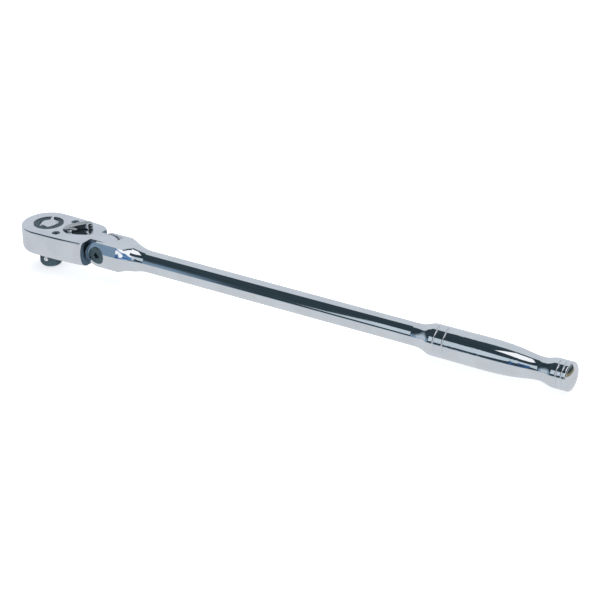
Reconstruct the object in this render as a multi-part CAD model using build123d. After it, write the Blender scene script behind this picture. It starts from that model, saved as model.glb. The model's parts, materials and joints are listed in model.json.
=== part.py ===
"""Flex-head reversible ratchet wrench with a half-inch square drive and a long one-piece handle.

Frame, in millimetres: the origin is the centre of the drive square's end face.  +Z runs from
there up the drive axis to the lever side of the head, and +X runs along the straight handle.
"""

from build123d import *
import os
from math import asin, cos, degrees, radians, sin, sqrt

# ---------------------------------------------------------------- driving dimensions
SQUARE = 12.7                # half-inch drive, across flats
SQUARE_CORNER = 1.5          # radius of the square's long edges
SQUARE_END_R = 5.0           # flat left on the square's rounded end
Z_HEAD_BOTTOM = 14.0         # drive side of the head
Z_TOP = 33.0                 # lever side of the head
Z_AXIS = (Z_HEAD_BOTTOM + Z_TOP) / 2
RUN = 0.06                   # radial running clearance of a turning fit

HEAD_FRONT_R = 19.4          # round front of the head
HEAD_FRONT_X = -0.8          # centre of that round front
HEAD_REAR_X = 45.6           # rear shoulder of the head
HEAD_TOP_EDGE = 1.2          # rounding of the lever-side edge
HEAD_LOW_EDGE = 4.0          # rounding of the drive-side edge
SHOULDER_R = 26.0            # hollow of the rear shoulder

PIVOT_X = 53.2
EAR_R = 9.6                  # round front of the clevis ears, also half their height
EAR_TOP_Y = 10.0             # half width of the clevis at its top and bottom faces
EAR_MID_Y = 12.3             # half width of the clevis at mid height
EAR_BAND = 2.4               # half height of the crowned side's middle band
TONGUE_Y = 7.0               # half thickness of the head's tongue
SLOT_Y = 7.6                 # half width of the clevis slot
SLOT_END_X = 64.0
CLEVIS_END_X = 70.5          # the clevis block ends and the neck starts
NECK_END_X = 81.0            # the neck is round from here on
NECK_R = 10.0
SHANK_R = 8.0

GRIP_RINGS = (336.4, 343.4)          # groove positions on the grip
KNOB_RINGS = (428.0, 432.0)          # groove positions on the end knob
GRIP_R = 11.1                # at the front of the grip
KNOB_R = 10.1
GROOVE_WIRE_R = 0.9          # round-bottomed grooves
GROOVE_DEPTH = 0.5
KNOB_RIM_X = 435.2
HANDLE_END_X = 437.4

GEAR_TEETH = 72
GEAR_R = 14.0                # over the teeth
TOOTH_H = 0.6
HALF_TIP = 0.45              # half width of a tooth tip, degrees
GEAR_Z = (17.2, 27.9)
CAVITY_R = 14.6
CAVITY_Z = (16.8, 28.5)
COLLAR_R = 9.5               # drive collar that turns in the cover plate
SPIGOT_R = 8.0               # upper journal that turns in the head
STUB_R = 5.9                 # top of the journal, grooved for the retaining ring
GROOVE_R = 5.3
RECESS_R = 11.3              # recess for the retaining ring in the lever side
RECESS_Z = 31.5
RING_R = 11.0
RING_Z = (32.1, 32.7)

SCREW_X, SCREW_Y = 16.1, 11.3        # cover screws, one each side
SCREW_HEAD_R = 2.9
SCREW_R = 1.5

PAWL_PIN_X = 16.75
PAWL_PIN_R = 1.1
PAWL_HALF = 8.2              # half length of the rocker pawl
PAWL_BACK_X = 18.6
PAWL_Z = (17.5, 27.0)
PAWL_ROCK = 4.0              # degrees each side of its middle

LEVER_X = 22.0
LEVER_ANGLE = 41.0           # degrees each side of straight, stored on the left-hand detent
STEM_R = 3.0
LEVER_Z = Z_TOP + 0.3        # underside of the lever
LEVER_BASE_R = 5.7
LEVER_BASE_T = 2.4
NOSE_REACH = 6.8             # from the stem's axis to the tip of the pointed base
THUMB_REACH = 12.1           # from the stem's axis to the thumb button
THUMB_R = 3.6
THUMB_TOP = 5.3              # above the head
ARM_HALF = 2.6
PLUNGER_Z = 22.4
PLUNGER_R = 1.4
PLUNGER_NOSE = 1.9           # from the stem's axis to the centre of the plunger's round nose

BALL_R = 2.4
BALL_Z = 6.1
BALL_OUT = 1.1               # how far the ball stands out of the square

SCREW_FACE_Y = 11.5          # outer faces of the pivot screw and its nut
PIVOT_HEAD_R = 6.5
PIVOT_SHANK_R = 4.5
PIVOT_SEAT_Y = 9.4
PIVOT_THREAD_R = 3.0


# ---------------------------------------------------------------- helpers
def rod(radius, z0, z1, x=0.0, y=0.0):
    """A cylinder along Z between two heights."""
    return Pos(x, y, (z0 + z1) / 2) * Cylinder(radius, z1 - z0)


def rod_y(radius, y0, y1, x=0.0, z=0.0):
    """A cylinder along Y between two places."""
    return Pos(x, (y0 + y1) / 2, z) * Rot(X=90) * Cylinder(radius, y1 - y0)


def block(x0, x1, y0, y1, z0, z1):
    """A box between two corners."""
    return Pos((x0 + x1) / 2, (y0 + y1) / 2, (z0 + z1) / 2) * Box(x1 - x0, y1 - y0, z1 - z0)


def tube(outer, inner, z0, z1):
    """A plain ring along Z."""
    return rod(outer, z0, z1) - rod(inner, z0 - 1, z1 + 1)


def polar(radius, angle, z=0.0):
    """A point at an angle around Z, in degrees."""
    return (radius * cos(radians(angle)), radius * sin(radians(angle)), z)


def extrude_between(face, z0, z1):
    """Extrude a face that lies in the XY plane between two heights."""
    return Pos(0, 0, z0) * extrude(face, z1 - z0)


def about(x, y, angle):
    """The placement that turns something about a vertical line, in degrees."""
    return Pos(x, y, 0) * Rot(Z=angle) * Pos(-x, -y, 0)


def coil(radius, wire_r, length, turns):
    """A helical compression spring along +Z from the origin, ends included."""
    free = length - 2 * wire_r
    path = Pos(0, 0, wire_r) * Helix(free / turns, free, radius)
    start = Plane(origin=path @ 0, z_dir=path % 0)
    return sweep(start * Circle(wire_r), path=path)


def six_lobe(outer, depth, lobes=6):
    """A cutter for a six-lobed socket, along -Z from the origin."""
    shape = Cylinder(outer * 0.68, depth)
    for k in range(lobes):
        shape += Pos(polar(outer * 0.72, k * 360 / lobes)) * Cylinder(outer * 0.28, depth)
    return Pos(0, 0, -depth / 2) * shape


def save(shape, name):
    """Write one sub-part."""
    shape.label = name
    export_step(shape, f"parts/{name}.step")


# ---------------------------------------------------------------- head
def head_outline():
    """Pear-shaped plan: round front, slightly tapering sides, a crisp near rear corner and a
    well rounded far one."""
    side_x, side_y = 38.0, 17.8
    far_x, far_y = 36.0, 17.65
    corner_x, corner_y = HEAD_REAR_X, 15.8
    front = CenterArc((HEAD_FRONT_X, 0), HEAD_FRONT_R, 90, 180)
    near = ThreePointArc((HEAD_FRONT_X, -HEAD_FRONT_R), (19.0, -18.95), (side_x, -side_y))
    near_corner = ThreePointArc((side_x, -side_y), (42.6, -17.0), (corner_x, -corner_y))
    rear = Line((corner_x, -corner_y), (corner_x, 9.4))
    far_corner = ThreePointArc((corner_x, 9.4), (42.5, 14.9), (far_x, far_y))
    far = ThreePointArc((far_x, far_y), (19.0, 18.95), (HEAD_FRONT_X, HEAD_FRONT_R))
    return make_face([front, near, near_corner, rear, far_corner, far])


def cover_outline(gap):
    """Plan of the inset cover plate; gap makes it smaller than its seat."""
    circle = Circle(17.0 - gap)
    tail = Pos(17.5, 0) * RectangleRounded(35.0 - 2 * gap, 2 * (14.4 - gap), 4.0)
    return circle + tail


def screw_places():
    """Where the two cover screws go."""
    return ((SCREW_X, -SCREW_Y), (SCREW_X, SCREW_Y))


def make_tongue():
    """The hinge tongue: flush with the head, rounded about the pivot, with eased long edges."""
    profile = Pos(PIVOT_X, 0) * Circle(Z_AXIS - Z_HEAD_BOTTOM)
    profile += Pos((36.0 + PIVOT_X) / 2, 0) * Rectangle(PIVOT_X - 36.0, Z_TOP - Z_HEAD_BOTTOM)
    body = extrude(Plane.XZ * profile, TONGUE_Y, both=True)
    body = Pos(0, 0, Z_AXIS) * body
    sides = body.faces().sort_by(Axis.Y)
    edges = sides[0].edges() + sides[-1].edges()
    return chamfer(edges.filter_by_position(Axis.X, 40, 70), 0.5)


def make_head_body():
    """Forged head: gear cavity and pawl pocket open to the drive side, tongue at the rear."""
    body = extrude_between(head_outline(), Z_HEAD_BOTTOM, Z_TOP)
    rim = body.edges().filter_by_position(Axis.Z, Z_HEAD_BOTTOM, Z_HEAD_BOTTOM)
    rim = rim.filter_by(lambda e: e.center().X < HEAD_REAR_X - 0.1)
    body = fillet(rim, HEAD_LOW_EDGE)
    rim = body.edges().filter_by_position(Axis.Z, Z_TOP, Z_TOP)
    rim = rim.filter_by(lambda e: e.center().X < HEAD_REAR_X - 0.1)
    body = fillet(rim, HEAD_TOP_EDGE)
    hollow_x = PIVOT_X - EAR_R - 1.0 + SHOULDER_R
    body -= rod_y(SHOULDER_R, -25, 25, hollow_x, Z_AXIS)
    body += make_tongue()
    body -= rod_y(PIVOT_SHANK_R + RUN, -20, 20, PIVOT_X, Z_AXIS)
    # gear cavity, pawl pocket and the seat of the cover plate
    body -= rod(CAVITY_R, *CAVITY_Z)
    pocket = Pos(19.0, 0) * RectangleRounded(18.0, 17.8, 2.0)
    body -= extrude_between(pocket, *CAVITY_Z)
    body -= extrude_between(cover_outline(0.0), Z_HEAD_BOTTOM - 1, CAVITY_Z[0])
    # upper journal, recess of the retaining ring and lever stem
    body -= rod(SPIGOT_R + RUN, CAVITY_Z[1] - 1, Z_TOP)
    body -= rod(RECESS_R, RECESS_Z, Z_TOP + 1)
    body -= rod(STEM_R + RUN, CAVITY_Z[1] - 1, Z_TOP + 1, LEVER_X)
    body -= rod(STEM_R + 1.5, Z_TOP - 1.5, Z_TOP + 1, LEVER_X)
    body -= rod(PAWL_PIN_R, CAVITY_Z[1] - 1, CAVITY_Z[1] + 2, PAWL_PIN_X)
    for x, y in screw_places():
        body -= rod(SCREW_HEAD_R + 0.1, Z_TOP - 2.1, Z_TOP + 1, x, y)
        body -= rod(SCREW_R + 0.1, Z_HEAD_BOTTOM, Z_TOP, x, y)
    return body


def make_cover_plate():
    """Inset plate on the drive side, bored for the drive collar and tapped for its screws."""
    plate = extrude_between(cover_outline(0.1), Z_HEAD_BOTTOM, CAVITY_Z[0])
    plate = chamfer(plate.faces().sort_by(Axis.Z)[0].edges(), 0.3)
    plate -= rod(COLLAR_R + RUN, Z_HEAD_BOTTOM - 1, CAVITY_Z[0] + 1)
    plate -= rod(PAWL_PIN_R, CAVITY_Z[0] - 1.6, CAVITY_Z[0] + 1, PAWL_PIN_X)
    for x, y in screw_places():
        plate -= rod(SCREW_R, Z_HEAD_BOTTOM - 1, CAVITY_Z[0] + 1, x, y)
    return plate


def make_cover_screws():
    """Two six-lobe socket screws, sunk in the lever side and threaded into the cover plate."""
    socket = six_lobe(1.5, 1.3)
    screws = []
    for x, y in screw_places():
        head = chamfer(rod(SCREW_HEAD_R, Z_TOP - 2.1, Z_TOP - 0.2, x, y).edges()
                       .sort_by(Axis.Z)[-1], 0.35)
        screw = head + rod(SCREW_R, Z_HEAD_BOTTOM + 0.4, Z_TOP - 2, x, y)
        screws.append(screw - Pos(x, y, Z_TOP - 0.2) * socket)
    return Compound(children=screws)


def make_pawl_pin():
    """Pin that the pawl rocks on, held in the head and the cover plate."""
    pin = rod(PAWL_PIN_R, CAVITY_Z[0] - 1.6, CAVITY_Z[1] + 2, PAWL_PIN_X)
    return chamfer(pin.edges(), 0.25)


# ---------------------------------------------------------------- drive gear and its parts
def gear_outline(grow=0.0):
    """Plan of the toothed gear; grow makes it about that much bigger all round, to cut a mate."""
    half_tip = HALF_TIP + degrees(0.6 * grow / GEAR_R)
    points = []
    for k in range(GEAR_TEETH):
        middle = k * 360 / GEAR_TEETH
        points.append(polar(GEAR_R + grow, middle - half_tip))
        points.append(polar(GEAR_R + grow, middle + half_tip))
        points.append(polar(GEAR_R + grow - TOOTH_H, middle + 180 / GEAR_TEETH))
    return make_face(Polyline(*points, close=True))


def make_drive_gear():
    """Toothed gear with the drive square below and its grooved journal above."""
    square = RectangleRounded(SQUARE, SQUARE, SQUARE_CORNER)
    round_end = ThreePointArc((SQUARE_END_R, 0), (7.2, 1.1), (8.4, 3.4))
    side = Line(round_end @ 1, (8.4, GEAR_Z[0]))
    top = Polyline(side @ 1, (0, GEAR_Z[0]), (0, 0), round_end @ 0)
    blank = revolve(Plane.XZ * make_face([round_end, side, top]), Axis.Z)
    drive = extrude_between(square, 0, GEAR_Z[0]) & blank
    collar = chamfer(rod(COLLAR_R, Z_HEAD_BOTTOM - 0.8, GEAR_Z[0] + 1).edges()
                     .sort_by(Axis.Z)[0], 0.5)
    gear = drive + collar
    gear += extrude_between(gear_outline(), *GEAR_Z)
    gear += rod(SPIGOT_R, GEAR_Z[1] - 1, RECESS_Z)
    stub = chamfer(rod(STUB_R, RECESS_Z - 1, Z_TOP).edges().sort_by(Axis.Z)[-1], 0.5)
    gear += stub
    gear -= tube(STUB_R + 1, GROOVE_R, *RING_Z)
    # blind hole of the detent ball, in the near face of the square
    gear -= rod_y(BALL_R + 0.05, -SQUARE, 2.2, 0, BALL_Z)
    return gear


def make_thrust_washer():
    """Plain washer under the retaining ring."""
    return tube(RING_R, STUB_R + 0.1, RECESS_Z + 0.05, RING_Z[0] - 0.05)


def make_retaining_ring():
    """C-shaped retaining ring: one lug beside the gap, two inner lugs that grip the groove."""
    lug = GROOVE_R + 0.05
    inner = (
        (122, lug), (136, 5.5), (150, 5.8), (188, 6.7), (226, 7.3), (252, 7.2), (259, lug), (274, lug),
        (281, 6.9), (310, 6.9), (352, 6.7), (358, lug), (12, lug), (20, 6.7), (50, 7.8),
        (80, 9.0), (108, 10.0),
    )
    inner_line = Polyline(*[polar(radius, angle) for angle, radius in inner])
    outer_arc = CenterArc((0, 0), RING_R, 108, -346)
    first = Line(inner_line @ 1, outer_arc @ 0)
    last = Line(outer_arc @ 1, inner_line @ 0)
    return extrude_between(make_face([inner_line, first, outer_arc, last]), *RING_Z)


def make_detent_ball():
    """Ball that holds the socket on the square."""
    return Pos(0, -SQUARE / 2 - BALL_OUT + BALL_R, BALL_Z) * Sphere(BALL_R)


def make_detent_spring():
    """Spring behind the detent ball."""
    start = -SQUARE / 2 - BALL_OUT + 2 * BALL_R + 0.05
    spring = coil(1.6, 0.3, 2.15 - start, 3)
    return Pos(0, start, BALL_Z) * Rot(X=-90) * spring


# ---------------------------------------------------------------- pawl
def make_pawl():
    """Rocker pawl: three teeth at each end, cut to mesh with the gear at either end of its rock."""
    front_x = 10.2
    blank = make_face(Polyline(
        (front_x, -PAWL_HALF), (15.8, -PAWL_HALF), (PAWL_BACK_X + 0.3, -5.2),
        (PAWL_BACK_X + 0.5, -2.8), (PAWL_BACK_X, 0), (PAWL_BACK_X + 0.5, 2.8),
        (PAWL_BACK_X + 0.3, 5.2), (15.8, PAWL_HALF), (front_x, PAWL_HALF), close=True))
    cutter = gear_outline(0.1)
    for side in (-1, 1):
        blank -= about(PAWL_PIN_X, 0, side * PAWL_ROCK) * cutter
    relief = Circle(GEAR_R + 0.75) & Pos(10, 0) * Rectangle(20, 9.6)
    blank -= relief
    blank -= Pos(PAWL_PIN_X, 0) * Circle(PAWL_PIN_R + RUN)
    pawl = extrude_between(blank, *PAWL_Z)
    return about(PAWL_PIN_X, 0, -PAWL_ROCK) * pawl


# ---------------------------------------------------------------- reversing lever
def in_lever(shape):
    """Place something made with its nose along -X and its stem on Z at the lever's stored angle."""
    return Pos(LEVER_X, 0, 0) * Rot(Z=LEVER_ANGLE) * shape


def make_lever_base():
    """Low domed base: round about the stem, drawn out to a blunt point that thins to its tip."""
    point = make_face(Polyline(
        (-NOSE_REACH, 0.35), (-NOSE_REACH, -0.35), (-2.2, -5.2), (-2.2, 5.2), close=True))
    plan = extrude(Circle(LEVER_BASE_R) + point, LEVER_BASE_T)
    edge_r = NOSE_REACH + 0.2
    dome = Spline((edge_r, 0.3), (LEVER_BASE_R - 0.4, 0.55 * LEVER_BASE_T), (0, LEVER_BASE_T),
                  tangents=((-1, 0.5), (-1, 0)))
    closing = Polyline(dome @ 1, (0, 0), (edge_r, 0), dome @ 0)
    return Pos(0, 0, LEVER_Z) * (plan & revolve(Plane.XZ * make_face([dome, closing]), Axis.Z))


def make_thumb_button():
    """Round thumb button: short upright wall under a dome."""
    height = Z_TOP + THUMB_TOP - LEVER_Z
    wall = Line((THUMB_R - 0.2, 0), (THUMB_R, 0.9))
    dome = Spline(wall @ 1, (THUMB_R * 0.78, height - 0.95), (0, height),
                  tangents=((0, 1), (-1, 0)))
    closing = Polyline(dome @ 1, (0, 0), wall @ 0)
    button = revolve(Plane.XZ * make_face([wall, dome, closing]), Axis.Z)
    return Pos(THUMB_REACH, 0, LEVER_Z) * button


def make_reverse_lever():
    """Reversing lever: stem, pointed base, flat-topped arm and a domed thumb button."""
    arm_side = make_face(Polyline(
        (-4.2, 0.9), (-2.6, 2.6), (3.5, 3.7), (THUMB_REACH - 2.6, 4.4), (THUMB_REACH, 4.4),
        (THUMB_REACH, 0.0), (-1.0, 0.0), close=True))
    arm = Pos(0, 0, LEVER_Z) * extrude(Plane.XZ * arm_side, ARM_HALF, both=True)
    arm = fillet(arm.faces().filter_by(lambda f: f.normal_at().Z > 0.5).edges(), 0.6)
    lever = make_lever_base() + arm + make_thumb_button()
    lever += rod(STEM_R, GEAR_Z[0], LEVER_Z + 0.5)
    lever -= tube(STEM_R + 1, STEM_R - 0.5, 27.4, 28.3)
    bore = Pos(-0.9, 0, PLUNGER_Z) * Rot(Y=90) * Cylinder(PLUNGER_R + 0.05, 6.2)
    lever -= bore
    return in_lever(lever)


def make_lever_seal():
    """O-ring round the lever's stem, in the counterbore under the lever."""
    return Pos(LEVER_X, 0, Z_TOP - 0.75) * Torus(STEM_R + 0.67, 0.6)


def make_lever_clip():
    """Snap ring that keeps the lever's stem in the head."""
    ring = tube(STEM_R + 0.85, STEM_R - 0.45, 27.5, 28.2)
    ring -= block(0, 8, -1.3, 1.3, 27, 29)
    return in_lever(ring)


def make_shift_plunger():
    """Hollow round-nosed plunger that pushes the pawl to one side or the other."""
    nose = Pos(-PLUNGER_NOSE, 0, 0) * Sphere(PLUNGER_R)
    body = Pos(-PLUNGER_NOSE + 1.05, 0, 0) * Rot(Y=90) * Cylinder(PLUNGER_R, 2.1)
    hollow = Pos(-PLUNGER_NOSE + 1.7, 0, 0) * Rot(Y=90) * Cylinder(1.05, 3.0)
    return in_lever(Pos(0, 0, PLUNGER_Z) * (nose + body - hollow))


def make_plunger_spring():
    """Spring between the plunger and the end of its hole in the lever's stem."""
    start, end = -PLUNGER_NOSE + 0.25, 2.15
    spring = Rot(Y=90) * coil(0.7, 0.28, end - start, 4)
    return in_lever(Pos(start, 0, PLUNGER_Z) * spring)


# ---------------------------------------------------------------- handle and hinge
def clevis_corners():
    """Corners of the clevis section in Y and height: flat top and bottom, crowned sides."""
    quarter = [(EAR_TOP_Y, EAR_R), (EAR_MID_Y, EAR_BAND)]
    right = quarter + [(y, -z) for y, z in reversed(quarter)]
    return right + [(-y, z) for y, z in reversed(right)]


def clevis_section(x):
    """The clevis section as a face across the handle."""
    corners = [(x, y, Z_AXIS + z) for y, z in clevis_corners()]
    return make_face(Polyline(*corners, close=True))


def neck_circle(x, radius):
    """A circle across the handle, split where the clevis section has its corners."""
    places = []
    for y, z in clevis_corners():
        scale = radius / sqrt(y * y + z * z)
        places.append((x, y * scale, Z_AXIS + z * scale))
    arcs = []
    for a, b in zip(places, places[1:] + places[:1]):
        y, z = (a[1] + b[1]) / 2, (a[2] + b[2]) / 2 - Z_AXIS
        scale = radius / sqrt(y * y + z * z)
        arcs.append(ThreePointArc(a, (x, y * scale, Z_AXIS + z * scale), b))
    return make_face(arcs)


def shank_outline():
    """Half profile of the turned length, from the neck to the domed end."""
    neck = Spline((NECK_END_X, NECK_R), (85.0, 9.0), (92.0, SHANK_R),
                  tangents=((1, -0.28), (1, 0)))
    shank = Line(neck @ 1, (317.0, SHANK_R))
    flare = Spline(shank @ 1, (324.0, 8.8), (328.2, 10.3), (332.4, GRIP_R),
                   tangents=((1, 0), (1, 0)))
    grip = Spline(flare @ 1, (362.0, 11.2), (384.0, 11.0), (400.0, 9.5), (413.0, SHANK_R),
                  tangents=((1, 0.0), (1, 0)))
    flare_out = Spline(grip @ 1, (417.6, 8.65), (420.8, 9.55), (424.8, KNOB_R),
                       tangents=((1, 0), (1, 0)))
    knob = Line(flare_out @ 1, (KNOB_RIM_X - 1.0, KNOB_R))
    dome_edge = KNOB_R - 1.1
    rim = ThreePointArc(knob @ 1, (KNOB_RIM_X - 0.25, KNOB_R - 0.35), (KNOB_RIM_X, dome_edge))
    bulge = HANDLE_END_X - KNOB_RIM_X
    dome_r = (dome_edge ** 2 + bulge ** 2) / (2 * bulge)
    half = asin(dome_edge / dome_r) / 2
    dome_middle = (HANDLE_END_X - dome_r * (1 - cos(half)), dome_r * sin(half))
    dome = ThreePointArc(rim @ 1, dome_middle, (HANDLE_END_X, 0))
    close_end = Line(dome @ 1, (NECK_END_X, 0))
    close_start = Line(close_end @ 1, neck @ 0)
    outline = make_face([neck, shank, flare, grip, flare_out, knob, rim, dome, close_end,
                         close_start])
    for x in GRIP_RINGS:
        outline -= Pos(x, GRIP_R + GROOVE_WIRE_R - GROOVE_DEPTH) * Circle(GROOVE_WIRE_R)
    for x in KNOB_RINGS:
        outline -= Pos(x, KNOB_R + GROOVE_WIRE_R - GROOVE_DEPTH) * Circle(GROOVE_WIRE_R)
    return outline


def make_handle():
    """One-piece forging: slotted clevis, tapering neck, round shank, grip and end knob."""
    side = Pos(PIVOT_X, 0) * Circle(EAR_R)
    side += Pos((PIVOT_X + CLEVIS_END_X) / 2, 0) * Rectangle(CLEVIS_END_X - PIVOT_X, 2 * EAR_R)
    slab = Pos(0, 0, Z_AXIS) * extrude(Plane.XZ * side, 20, both=True)
    front_x = PIVOT_X - EAR_R - 1
    prism = extrude(clevis_section(front_x), CLEVIS_END_X - front_x, dir=(1, 0, 0))
    clevis = slab & prism
    neck = loft([clevis_section(CLEVIS_END_X), neck_circle(NECK_END_X, NECK_R)], ruled=True)
    turned = revolve(shank_outline(), Axis.X)
    turned = Pos(0, 0, Z_AXIS) * turned
    handle = clevis + neck + turned
    handle -= block(0, SLOT_END_X, -SLOT_Y, SLOT_Y, 0, 50)
    handle -= rod_y(PIVOT_SHANK_R + 0.05, -20, 20, PIVOT_X, Z_AXIS)
    for side_y in (-1, 1):
        seat = sorted((side_y * PIVOT_SEAT_Y, side_y * 20))
        handle -= rod_y(PIVOT_HEAD_R + 0.1, *seat, PIVOT_X, Z_AXIS)
    return handle


def make_pivot_screw():
    """Shoulder screw of the hinge, with a six-lobe socket in its flush head."""
    screw = rod_y(PIVOT_HEAD_R, -SCREW_FACE_Y, -PIVOT_SEAT_Y)
    screw = chamfer(screw.edges().sort_by(Axis.Y)[0], 0.3)
    screw += rod_y(PIVOT_SHANK_R, -PIVOT_SEAT_Y - 0.5, PIVOT_SEAT_Y - 0.1)
    screw += rod_y(PIVOT_THREAD_R, 0, SCREW_FACE_Y - 0.3)
    socket = Pos(0, -SCREW_FACE_Y, 0) * Rot(X=90) * six_lobe(2.6, 1.6)
    return Pos(PIVOT_X, 0, Z_AXIS) * (screw - socket)


def make_pivot_nut():
    """Round nut sunk in the far ear, with a slot for a driver."""
    nut = rod_y(PIVOT_HEAD_R, PIVOT_SEAT_Y, SCREW_FACE_Y)
    nut = chamfer(nut.edges().sort_by(Axis.Y)[-1], 0.3)
    nut -= rod_y(PIVOT_THREAD_R + 0.02, 0, 20)
    nut -= block(-10, 10, SCREW_FACE_Y - 0.9, 20, -0.8, 0.8)
    return Pos(PIVOT_X, 0, Z_AXIS) * nut


def make_hinge_washer():
    """Flat friction washer between the near ear and the tongue."""
    ring = rod_y(8.6, -SLOT_Y, -SLOT_Y + 0.45) - rod_y(PIVOT_SHANK_R + 0.1, -20, 20)
    return Pos(PIVOT_X, 0, Z_AXIS) * ring


def make_hinge_disc_spring():
    """Dished spring washer between the far ear and the tongue."""
    inner, outer, dish, thick = PIVOT_SHANK_R + 0.1, 8.6, 0.15, 0.3
    section = make_face(Polyline(
        (inner, SLOT_Y - dish - thick), (outer, SLOT_Y - thick), (outer, SLOT_Y),
        (inner, SLOT_Y - dish), close=True))
    return Pos(PIVOT_X, 0, Z_AXIS) * revolve(section, Axis.Y)


MAKERS = {
    "handle": make_handle,
    "pivot_screw": make_pivot_screw,
    "pivot_nut": make_pivot_nut,
    "hinge_washer": make_hinge_washer,
    "hinge_disc_spring": make_hinge_disc_spring,
    "head_body": make_head_body,
    "cover_plate": make_cover_plate,
    "cover_screws": make_cover_screws,
    "pawl_pin": make_pawl_pin,
    "drive_gear": make_drive_gear,
    "thrust_washer": make_thrust_washer,
    "retaining_ring": make_retaining_ring,
    "detent_ball": make_detent_ball,
    "detent_spring": make_detent_spring,
    "pawl": make_pawl,
    "reverse_lever": make_reverse_lever,
    "lever_seal": make_lever_seal,
    "lever_clip": make_lever_clip,
    "shift_plunger": make_shift_plunger,
    "plunger_spring": make_plunger_spring,
}

os.makedirs("parts", exist_ok=True)
for node, maker in MAKERS.items():
    save(maker(), node)
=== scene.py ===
import json
from math import cos, degrees, radians, sin

import bpy
from mathutils import Matrix, Vector

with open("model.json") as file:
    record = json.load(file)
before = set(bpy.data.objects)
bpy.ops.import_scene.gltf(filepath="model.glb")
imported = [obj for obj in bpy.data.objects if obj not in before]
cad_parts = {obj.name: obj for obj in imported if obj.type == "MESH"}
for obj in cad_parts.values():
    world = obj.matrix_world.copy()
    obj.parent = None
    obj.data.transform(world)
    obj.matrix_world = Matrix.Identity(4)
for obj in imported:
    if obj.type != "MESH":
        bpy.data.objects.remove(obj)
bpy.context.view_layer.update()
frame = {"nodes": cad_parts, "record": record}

MM = 0.001
scene = bpy.context.scene
scene.view_settings.view_transform = "Standard"
scene.view_settings.look = "None"

# places on the tool, in metres
AXIS_Z = 23.5 * MM                  # height of the handle's axis
SHOULDER_X = 68.6 * MM              # centre of the head's hollow shoulder
SHOULDER_R = 26.06 * MM             # just past the hollow's radius
TONGUE_Y = 7.05 * MM                # just past the tongue's half thickness
SLOT_Y = 7.65 * MM                  # just past the clevis slot's half width
SLOT_END_X = 64.15 * MM             # just past the end of that slot
JOURNAL_TOP_Z = 31.2 * MM           # the drive's journal shows above this height
KNOB_END_X = 437.0 * MM


# ---------------------------------------------------------------- node helpers
class Graph:
    """Adds nodes to one tree, each with its inputs given by name or place."""

    def __init__(self, tree):
        self.tree = tree
        tree.nodes.clear()

    def add(self, kind, inputs=None, **props):
        node = self.tree.nodes.new(kind)
        for key, value in props.items():
            setattr(node, key, value)
        for key, value in (inputs or {}).items():
            self.set(node, key, value)
        return node

    def set(self, node, key, value):
        socket = node.inputs[key]
        if isinstance(value, bpy.types.NodeSocket):
            self.tree.links.new(value, socket)
        elif isinstance(value, bpy.types.Node):
            self.tree.links.new(value.outputs[0], socket)
        else:
            socket.default_value = value

    def math(self, op, a, b=0.0):
        return self.add("ShaderNodeMath", {0: a, 1: b}, operation=op)

    def both(self, a, b):
        return self.math("MULTIPLY", a, b)

    def noise(self, vector, scale, detail=3.0, rough=0.5):
        return self.add("ShaderNodeTexNoise", {
            "Vector": vector, "Scale": scale, "Detail": detail, "Roughness": rough})

    def spread(self, value, low, high, to_low, to_high, smooth=False):
        """Goes from to_low to to_high while the value goes from low to high."""
        node = self.add("ShaderNodeMapRange", {
            "Value": value, "From Min": low, "From Max": high, "To Min": to_low, "To Max": to_high})
        node.interpolation_type = "SMOOTHSTEP" if smooth else "LINEAR"
        return node

    def rise(self, value, low, high):
        """0 below low, 1 above high, and smooth between them."""
        return self.spread(value, low, high, 0.0, 1.0, True)

    def fall(self, value, low, high):
        """1 below low, 0 above high, and smooth between them."""
        return self.spread(value, low, high, 1.0, 0.0, True)

    def within(self, value, low, high, soft):
        """1 between two values and 0 outside them, with soft edges."""
        return self.both(self.rise(value, low - soft, low + soft),
                         self.fall(value, high - soft, high + soft))

    def above(self, value, line, soft):
        """1 where the value is above the line and 0 below it, with a soft edge."""
        return self.rise(self.math("SUBTRACT", value, line), -soft, soft)

    def blend(self, factor, a, b):
        node = self.add("ShaderNodeMix", data_type="RGBA")
        for key, value in ((0, factor), (6, a), (7, b)):
            self.set(node, key, value)
        return node.outputs[2]


def linear(r, g, b):
    """A linear colour from 8-bit screen values."""
    def channel(c):
        c /= 255
        return c / 12.92 if c <= 0.04045 else ((c + 0.055) / 1.055) ** 2.4
    return (channel(r), channel(g), channel(b), 1.0)


def node_material(name):
    """A new material, its emptied node graph and the object's own coordinates."""
    mat = bpy.data.materials.new(name)
    mat.use_nodes = True
    g = Graph(mat.node_tree)
    return mat, g, g.add("ShaderNodeTexCoord").outputs["Object"]


# ---------------------------------------------------------------- finishes
DRIFT_SCALE = 55.0                  # slow change of colour, in patches to the metre
MARK_SCALE = 140.0                  # smudges
WAVE_SCALE = 85.0                   # waves left by the buffing wheel
LINE_DEPTH = 0.02 * MM              # polishing lines
WAVE_DEPTH = 0.04 * MM
DIMMER = 0.75                       # the darker streaks of a second finish


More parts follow.
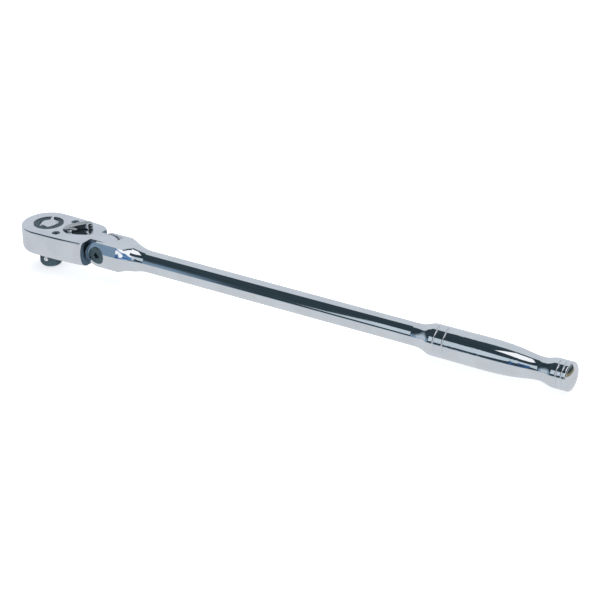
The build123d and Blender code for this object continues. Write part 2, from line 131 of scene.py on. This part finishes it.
def metal(name, light, dark, rough, wave=0.0, grain=(60, 900, 900), grain_rough=0.03,
          grain_bump=0.0, smudge=0.02, where_other=None, other=None, other_rough=0.3):
    """Polished, ground or blackened metal: colour drift, polishing lines, smudges, slow waves.

    where_other makes a mask from the object's coordinates, and there the piece has a second
    colour and roughness.
    """
    mat, g, where = node_material(name)
    drift = g.noise(where, DRIFT_SCALE, 3.0, 0.55)
    colour = g.blend(g.rise(drift, 0.35, 0.65), (*dark, 1), (*light, 1))
    lines_at = g.add("ShaderNodeMapping", {"Vector": where, "Scale": grain})
    lines = g.noise(lines_at, 1.0, 4.0, 0.6)
    marks = g.noise(where, MARK_SCALE, 4.0, 0.62)
    rough_lines = g.spread(lines, 0.4, 0.75, 0.0, grain_rough)
    rough_marks = g.spread(marks, 0.52, 0.74, 0.0, smudge, True)
    total = g.math("ADD", g.math("ADD", rough_lines, rough_marks), rough)
    if where_other:
        mask = where_other(g, g.add("ShaderNodeSeparateXYZ", {0: where}).outputs)
        streaks = (*(DIMMER * c for c in other), 1)
        colour = g.blend(mask, colour, g.blend(lines, streaks, (*other, 1)))
        total = g.spread(mask, 0.0, 1.0, total, g.math("ADD", rough_lines, other_rough))
    bump = g.add("ShaderNodeBump", {"Height": lines, "Distance": LINE_DEPTH, "Strength": grain_bump})
    slow = g.noise(where, WAVE_SCALE, 2.0, 0.4)
    waves = g.add("ShaderNodeBump", {
        "Height": slow, "Distance": WAVE_DEPTH, "Strength": wave, "Normal": bump})
    shader = g.add("ShaderNodeBsdfPrincipled", {
        "Base Color": colour, "Metallic": 1.0, "Roughness": total, "Normal": waves})
    g.add("ShaderNodeOutputMaterial", {"Surface": shader})
    return mat


def shaded_shoulder_hollow(g, axes):
    """The hollow behind the head, left as it was milled. There its colour is dark blue: painted
    shade of the recess and a painted reflection of the blue room; only its rougher finish is the
    metal's own.
    """
    x = g.math("SUBTRACT", axes["X"], SHOULDER_X)
    z = g.math("SUBTRACT", axes["Z"], AXIS_Z)
    reach = g.math("SQRT", g.math("ADD", g.both(x, x), g.both(z, z)))
    beside_tongue = g.math("GREATER_THAN", g.math("ABSOLUTE", axes["Y"]), TONGUE_Y)
    return g.both(g.math("LESS_THAN", reach, SHOULDER_R), beside_tongue)


def clevis_slot(g, axes):
    """The ground walls of the slot between the ears."""
    narrow = g.math("LESS_THAN", g.math("ABSOLUTE", axes["Y"]), SLOT_Y)
    return g.both(narrow, g.math("LESS_THAN", axes["X"], SLOT_END_X))


def journal_top(g, axes):
    """The turned top of the drive, which shows inside the retaining ring."""
    return g.math("GREATER_THAN", axes["Z"], JOURNAL_TOP_Z)


METALS = {
    "polished_chrome": dict(
        light=(0.84, 0.85, 0.87), dark=(0.79, 0.80, 0.82), rough=0.03, wave=0.025,
        grain_rough=0.015, smudge=0.03,
        where_other=clevis_slot, other=(0.72, 0.76, 0.80)),
    "satin_chrome": dict(
        light=(0.82, 0.83, 0.86), dark=(0.77, 0.78, 0.81), rough=0.05, wave=0.12,
        grain=(220, 220, 900), grain_rough=0.05, grain_bump=0.08, smudge=0.05,
        # dark blue in the hollow: painted shade and a painted blue reflection; the rougher milled
        # finish is the metal's own
        where_other=shaded_shoulder_hollow, other=(0.17, 0.25, 0.32), other_rough=0.38),
    "black_steel": dict(
        light=(0.17, 0.235, 0.255), dark=(0.09, 0.13, 0.15), rough=0.30,
        grain=(900, 900, 900), grain_rough=0.15, grain_bump=0.3, smudge=0.12),
    "blued_ring": dict(
        light=(0.085, 0.135, 0.155), dark=(0.045, 0.075, 0.09), rough=0.26,
        grain=(700, 700, 700), grain_rough=0.12, grain_bump=0.3, smudge=0.12),
    "gunmetal_steel": dict(
        light=(0.10, 0.15, 0.17), dark=(0.055, 0.085, 0.10), rough=0.22,
        grain=(700, 700, 90), grain_rough=0.12, grain_bump=0.25, smudge=0.12,
        where_other=journal_top, other=(0.88, 0.90, 0.92), other_rough=0.12),
    "black_chrome": dict(
        light=(0.62, 0.64, 0.66), dark=(0.42, 0.43, 0.43), rough=0.05, wave=0.25, smudge=0.06),
    "bright_steel": dict(
        light=(0.88, 0.88, 0.88), dark=(0.80, 0.80, 0.80), rough=0.06, smudge=0.05),
    "plain_steel": dict(
        light=(0.84, 0.85, 0.86), dark=(0.66, 0.67, 0.68), rough=0.16,
        grain=(500, 500, 500), grain_rough=0.1, grain_bump=0.2, smudge=0.1),
    "spring_steel": dict(
        light=(0.50, 0.51, 0.52), dark=(0.36, 0.37, 0.38), rough=0.28,
        grain_rough=0.1, grain_bump=0.2, smudge=0.1),
}


BLOOM_SCALE = 400.0                 # dust on the rubber, in patches to the metre
PORE_SCALE = 3000.0
PORE_DEPTH = 0.03 * MM


def rubber(name):
    """Matt black nitrile with a dusty bloom."""
    mat, g, where = node_material(name)
    bloom = g.spread(g.noise(where, BLOOM_SCALE, 4.0, 0.6), 0.4, 0.7, 0.0, 1.0)
    colour = g.blend(bloom, (0.018, 0.018, 0.018, 1), (0.05, 0.05, 0.048, 1))
    bump = g.add("ShaderNodeBump", {
        "Height": g.noise(where, PORE_SCALE, 3.0, 0.6), "Distance": PORE_DEPTH, "Strength": 0.4})
    shader = g.add("ShaderNodeBsdfPrincipled", {
        "Base Color": colour, "Roughness": g.spread(bloom, 0, 1, 0.6, 0.75), "Normal": bump})
    g.add("ShaderNodeOutputMaterial", {"Surface": shader})
    return mat


MATERIALS = {name: metal(name, **finish) for name, finish in METALS.items()}
MATERIALS["seal_rubber"] = rubber("seal_rubber")

for entry in frame["record"]["subparts"]:
    shown = frame["nodes"][entry["node"]]
    finish = "blued_ring" if entry["node"] == "retaining_ring" else entry["material_slot"]
    shown.data.materials.clear()
    shown.data.materials.append(MATERIALS[finish])


# ---------------------------------------------------------------- camera
TARGET = Vector((220.7, 3.6, 23.5)) * MM
CAMERA_AT = Vector((1081.3, -1233.1, 759.5)) * MM
ROLL = radians(-1.7717)
SENSOR_WIDTH = 36.0
LENS = 145.306

back = (CAMERA_AT - TARGET).normalized()
right = Vector((0, 0, 1)).cross(back).normalized()
up = back.cross(right)
right, up = cos(ROLL) * right + sin(ROLL) * up, -sin(ROLL) * right + cos(ROLL) * up
camera = bpy.data.objects.new("camera", bpy.data.cameras.new("camera"))
scene.collection.objects.link(camera)
camera.matrix_world = Matrix.Translation(CAMERA_AT) @ Matrix(
    (right, up, back)).transposed().to_4x4()
camera.data.sensor_width = SENSOR_WIDTH
camera.data.lens = LENS
camera.data.clip_start, camera.data.clip_end = 0.05, 50.0
scene.camera = camera


# ---------------------------------------------------------------- floor
FLOOR_SLOPE = 0.0314                # the tool lies on the end of its square and on its end knob
FLOOR_AT_ORIGIN = -0.2 * MM
FLOOR_REACH = 4.0
FLOOR_GLOW = 0.60                   # keeps the paper near white with only a faint shadow
FLOOR_MIRRORED = 1.12               # strength of the tones that the tool reflects
FALLS_OFF_Y = (-0.34, -0.13)        # where those tones turn from dim to light grey
OLIVE = linear(134, 128, 104)
SLATE = linear(58, 70, 74)
OLIVE_X = (0.480, 0.488)            # where the olive thing beyond the knob begins
SLATE_X = (0.52, 0.57)              # where it turns dark
BESIDE_KNOB = 1.4                   # slope, in plan, of the edge of the things beyond the knob


def floor_material():
    """Pale paper: near white to the eye; in reflections light grey, falling off towards -Y."""
    mat, g, where = node_material("floor_paper")
    seen = g.add("ShaderNodeBsdfDiffuse", {"Color": (0.95, 0.95, 0.95, 1)})
    glow = g.add("ShaderNodeEmission", {"Color": (1, 1, 1, 1), "Strength": FLOOR_GLOW})
    lit = g.add("ShaderNodeAddShader", {0: seen, 1: glow})
    x, y, _ = g.add("ShaderNodeSeparateXYZ", {0: where}).outputs
    tone = g.blend(g.rise(y, *FALLS_OFF_Y), linear(118, 140, 160), linear(201, 206, 211))
    # something olive, and darker farther out, lying beyond the end knob
    edge = g.spread(x, KNOB_END_X, KNOB_END_X + 1.0, 0.0, BESIDE_KNOB)
    thing = g.both(g.rise(x, *OLIVE_X), g.above(edge, y, 0.003))
    tone = g.blend(thing, tone, g.blend(g.rise(x, *SLATE_X), OLIVE, SLATE))
    mirrored = g.add("ShaderNodeEmission", {"Color": tone, "Strength": FLOOR_MIRRORED})
    path = g.add("ShaderNodeLightPath").outputs["Is Camera Ray"]
    mix = g.add("ShaderNodeMixShader", {0: path, 1: mirrored, 2: lit})
    g.add("ShaderNodeOutputMaterial", {"Surface": mix})
    return mat


def make_floor():
    """A large sheet on which the tool lies, rising gently towards the knob."""
    corners = [(x * FLOOR_REACH, y * FLOOR_REACH, FLOOR_AT_ORIGIN + FLOOR_SLOPE * x * FLOOR_REACH)
               for x, y in ((-1, -1), (1, -1), (1, 1), (-1, 1))]
    mesh = bpy.data.meshes.new("floor")
    mesh.from_pydata(corners, [], [(0, 1, 2, 3)])
    mesh.materials.append(floor_material())
    floor = bpy.data.objects.new("floor", mesh)
    scene.collection.objects.link(floor)


make_floor()

# ---------------------------------------------------------------- studio
WINDOW = linear(188, 202, 212)
BRIGHT = linear(248, 250, 253)
STEEL_BLUE = linear(118, 142, 164)
PALE_BLUE = linear(176, 190, 204)
TEAL = linear(48, 62, 70)
DARK_TEAL = linear(38, 50, 58)
STRIP = linear(236, 242, 248)
WALL = linear(194, 201, 209)

# Where things in the studio are, by direction.  X, Y and Z are parts of a unit direction; a
# heading goes from -Y towards +X and a height up from the floor, both in degrees.
LEFT_ROOM_X = (-0.565, -0.53)
LEFT_ROOM_HEIGHT = (8.0, 30.0)
LEFT_ROOM_PALE_HEADING = (-52.0, -40.0)
WINDOW_X = (-0.51, 0.15)
SILL_HEADING, SILL_HEIGHT = (-29.0, -13.0), (9.3, 17.5)
WINDOW_CORNER_X, WINDOW_CORNER_HEIGHT = (-0.504, -0.484), (14.0, 36.5)
WINDOW_TOP_X, WINDOW_TOP_HEIGHT = (-0.50, -0.38), (35.0, 44.5)
TABLE_HEADING, TABLE_HEIGHT = (-10.0, 20.0), (3.0, 46.0)
LARGE_BLUE_HEADING, LARGE_BLUE_HEIGHT = (-9.6, -2.6), (3.0, 26.0)
GLINT_HEADING, GLINT_HEIGHT = (-6.6, -4.6), (6.5, 14.0)
SMALL_BLUE_HEADING, SMALL_BLUE_HEIGHT = (-13.4, -11.6), (3.0, 23.0)
CUPBOARD_HEADING, CUPBOARD_HEIGHT = (9.0, 40.0), (48.0, 66.0)
PANEL_X = (-0.38, 0.25)
PANEL_LEAST_Z = 0.6
PANEL_FAR_X, PANEL_FAR_Y = (-0.38, -0.25), (-0.35, 0.04)
PANEL_NEAR_X, PANEL_NEAR_Y = (-0.38, -0.16), (-0.34, -0.53)
STRIP_X = (0.22, 0.50)
WALL_X, WALL_Y = (-0.53, -0.47), (0.085, 0.215)
DOORWAY_X, DOORWAY_Z = (0.50, 0.56), (0.42, 0.52)


class Sky:
    """A reflected direction: its X, Y and Z, its heading and its height."""

    def __init__(self, g):
        self.direction = g.add("ShaderNodeTexCoord").outputs["Generated"]
        self.x, self.y, self.z = g.add("ShaderNodeSeparateXYZ", {0: self.direction}).outputs
        forward = g.math("MULTIPLY", self.y, -1.0)
        self.heading = g.math("MULTIPLY", g.math("ARCTAN2", self.x, forward), degrees(1))
        self.height = g.math("MULTIPLY", g.math("ARCSINE", self.z), degrees(1))


def dark_room(g, sky):
    """The dim room round everything."""
    patches = g.spread(g.noise(sky.direction, 6.0, 3.0), 0.4, 0.7, 0.0, 1.0)
    return g.blend(patches, TEAL, DARK_TEAL)


def left_room(g, sky, tone):
    """A blue-grey room to the left, paler at its far end."""
    room = g.both(g.fall(sky.x, *LEFT_ROOM_X), g.fall(sky.height, *LEFT_ROOM_HEIGHT))
    paler = g.fall(sky.heading, *LEFT_ROOM_PALE_HEADING)
    return g.blend(room, tone, g.blend(paler, STEEL_BLUE, PALE_BLUE))


def window(g, sky, tone):
    """A long window with a sloping sill; its top drops steeply at the left end."""
    sill = g.spread(sky.heading, *SILL_HEADING, *SILL_HEIGHT)
    top = g.math("MINIMUM", g.spread(sky.x, *WINDOW_CORNER_X, *WINDOW_CORNER_HEIGHT),
                 g.spread(sky.x, *WINDOW_TOP_X, *WINDOW_TOP_HEIGHT))
    between = g.both(g.above(sky.height, sill, 0.6), g.above(top, sky.height, 0.8))
    return g.blend(g.both(g.within(sky.x, *WINDOW_X, 0.004), between), tone, WINDOW)


def table(g, sky, tone):
    """A bright table under the window's right end, with two blue things on it."""
    top = g.both(g.within(sky.heading, *TABLE_HEADING, 0.6),
                 g.within(sky.height, *TABLE_HEIGHT, 0.8))
    tone = g.blend(top, tone, BRIGHT)
    large = g.both(g.within(sky.heading, *LARGE_BLUE_HEADING, 0.4),
                   g.within(sky.height, *LARGE_BLUE_HEIGHT, 0.8))
    glint = g.both(g.within(sky.heading, *GLINT_HEADING, 0.5),
                   g.within(sky.height, *GLINT_HEIGHT, 1.2))
    shade = g.spread(g.noise(sky.direction, 24.0, 2.0), 0.40, 0.60, 0.0, 1.0)
    blues = g.blend(shade, linear(52, 92, 140), linear(120, 158, 200))
    tone = g.blend(large, tone, g.blend(glint, blues, BRIGHT))
    small = g.both(g.within(sky.heading, *SMALL_BLUE_HEADING, 0.2),
                   g.within(sky.height, *SMALL_BLUE_HEIGHT, 1.5))
    return g.blend(small, tone, linear(48, 88, 132))


def cupboard(g, sky, tone):
    """An olive cupboard above and to the right of the table."""
    front = g.both(g.within(sky.heading, *CUPBOARD_HEADING, 1.5),
                   g.within(sky.height, *CUPBOARD_HEIGHT, 1.5))
    return g.blend(front, tone, linear(168, 160, 136))


def overhead_panel(g, sky, tone):
    """A bright panel overhead, narrowing to a point at its left end."""
    far_edge = g.spread(sky.x, *PANEL_FAR_X, *PANEL_FAR_Y)
    near_edge = g.spread(sky.x, *PANEL_NEAR_X, *PANEL_NEAR_Y)
    between = g.both(g.above(far_edge, sky.y, 0.01), g.above(sky.y, near_edge, 0.01))
    along = g.both(g.within(sky.x, *PANEL_X, 0.01),
                   g.math("GREATER_THAN", sky.z, PANEL_LEAST_Z))
    return g.blend(g.both(between, along), tone, BRIGHT)


def strip_light(g, sky, tone):
    """A tall strip light on the camera's side."""
    return g.blend(g.within(sky.x, *STRIP_X, 0.03), tone, STRIP)


def back_wall(g, sky, tone):
    """A pale wall behind, which starts farther back to the right."""
    start = g.spread(sky.x, *WALL_X, *WALL_Y)
    return g.blend(g.rise(g.math("SUBTRACT", sky.y, start), -0.02, 0.05), tone, WALL)


def doorway(g, sky, tone):
    """A dark doorway beyond the end knob."""
    beside = g.above(g.math("MULTIPLY", sky.x, BESIDE_KNOB), sky.y, 0.02)
    opening = g.both(g.rise(sky.x, *DOORWAY_X), g.fall(sky.z, *DOORWAY_Z))
    return g.blend(g.both(beside, opening), tone, SLATE)


ROOM_STRENGTH = 1.15


def make_world():
    """What the chrome reflects, by direction; to the eye the backdrop is white."""
    world = bpy.data.worlds.new("studio")
    scene.world = world
    world.use_nodes = True
    g = Graph(world.node_tree)
    sky = Sky(g)
    tone = dark_room(g, sky)
    for layer in (left_room, window, table, cupboard, overhead_panel, strip_light, back_wall,
                  doorway):
        tone = layer(g, sky, tone)
    reflected = g.add("ShaderNodeBackground", {"Color": tone, "Strength": ROOM_STRENGTH})
    white = g.add("ShaderNodeBackground", {"Color": (1, 1, 1, 1), "Strength": 1.0})
    path = g.add("ShaderNodeLightPath").outputs["Is Camera Ray"]
    mix = g.add("ShaderNodeMixShader", {0: path, 1: reflected, 2: white})
    g.add("ShaderNodeOutputWorld", {"Surface": mix})


TOP_LIGHT_AT = Vector((0.2, 0.5, 1.6))
TOP_LIGHT_AIM = Vector((0.2, 0.0, 0.0))
TOP_LIGHT_SIZE = (2.0, 1.6)
TOP_LIGHT_WATTS = 14


def make_top_light():
    """A large soft light above and behind, kept out of the chrome."""
    data = bpy.data.lights.new("top_light", "AREA")
    data.shape = "RECTANGLE"
    data.size, data.size_y = TOP_LIGHT_SIZE
    data.energy = TOP_LIGHT_WATTS
    light = bpy.data.objects.new("top_light", data)
    scene.collection.objects.link(light)
    light.location = TOP_LIGHT_AT
    light.rotation_mode = "QUATERNION"
    light.rotation_quaternion = (TOP_LIGHT_AT - TOP_LIGHT_AIM).to_track_quat("Z", "Y")
    light.visible_glossy = False


make_world()
make_top_light()
